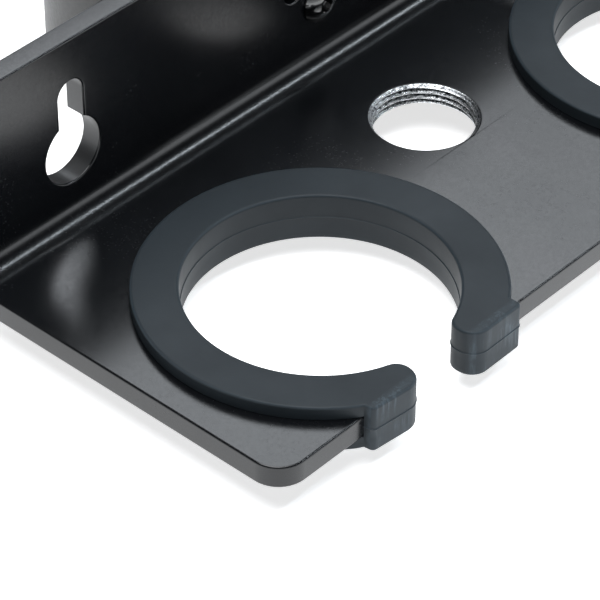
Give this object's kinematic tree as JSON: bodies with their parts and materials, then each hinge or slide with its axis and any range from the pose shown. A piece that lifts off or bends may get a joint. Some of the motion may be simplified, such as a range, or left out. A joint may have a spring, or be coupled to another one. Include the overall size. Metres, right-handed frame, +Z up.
{
  "type": "microphone and tool holder rack",
  "caption": "Bent steel rack with rubber-lined open rings for handheld microphones or styling tools, wall keyholes, a threaded accessory hole and a pole clamp.",
  "frame": {"origin": "on the axis of the pole that the clamp holds, at mid-height of the clamp body", "axes": "+Z up along the pole, +X along the rack's length to the knob's side, +Y back from the shelf towards the pole"},
  "size_m": [0.144, 0.1047, 0.046],
  "materials": {
    "coated_steel": "satin black powder coat on steel sheet",
    "liner_rubber": "matte moulded rubber",
    "pad_rubber": "matte rubber",
    "coated_casting": "satin black coat on cast metal",
    "black_screw": "glossy black oxide steel",
    "brass": "turned",
    "plated_steel": "zinc plated",
    "spring_steel": "phosphated",
    "nylon": "natural nylon",
    "knob_plastic": "fine moulded texture"
  },
  "bodies": {
    "rack": {"bracket": "coated_steel", "ring_liner_left": "liner_rubber", "ring_liner_right": "liner_rubber", "clamp_body": "coated_casting", "jaw_liner_pad": "pad_rubber", "clamp_screw_lower": "black_screw", "clamp_screw_upper": "black_screw", "spindle_bush": "brass"},
    "pressure_foot": {"pressure_disc": "plated_steel", "disc_pad": "pad_rubber"},
    "clamp_knob": {"spindle": "plated_steel", "disc_retaining_ring": "spring_steel", "friction_washer": "nylon", "knob": "knob_plastic", "knob_nut": "plated_steel", "knob_cap": "knob_plastic"}
  },
  "joints": [
    {"name": "foot_travel", "type": "slide", "parent": "rack", "child": "pressure_foot", "axis": [1, 0, 0], "range_m": [-0.0125, 0.00875]},
    {"name": "knob_spin", "type": "hinge", "parent": "pressure_foot", "child": "clamp_knob", "pos_m": [0.04, 0, 0], "axis": [1, 0, 0], "range_deg": [-3601, 2521]}
  ],
  "couplings": [
    {"joint": "knob_spin", "follows": "foot_travel", "rad_per_m": 5026.5}
  ]
}
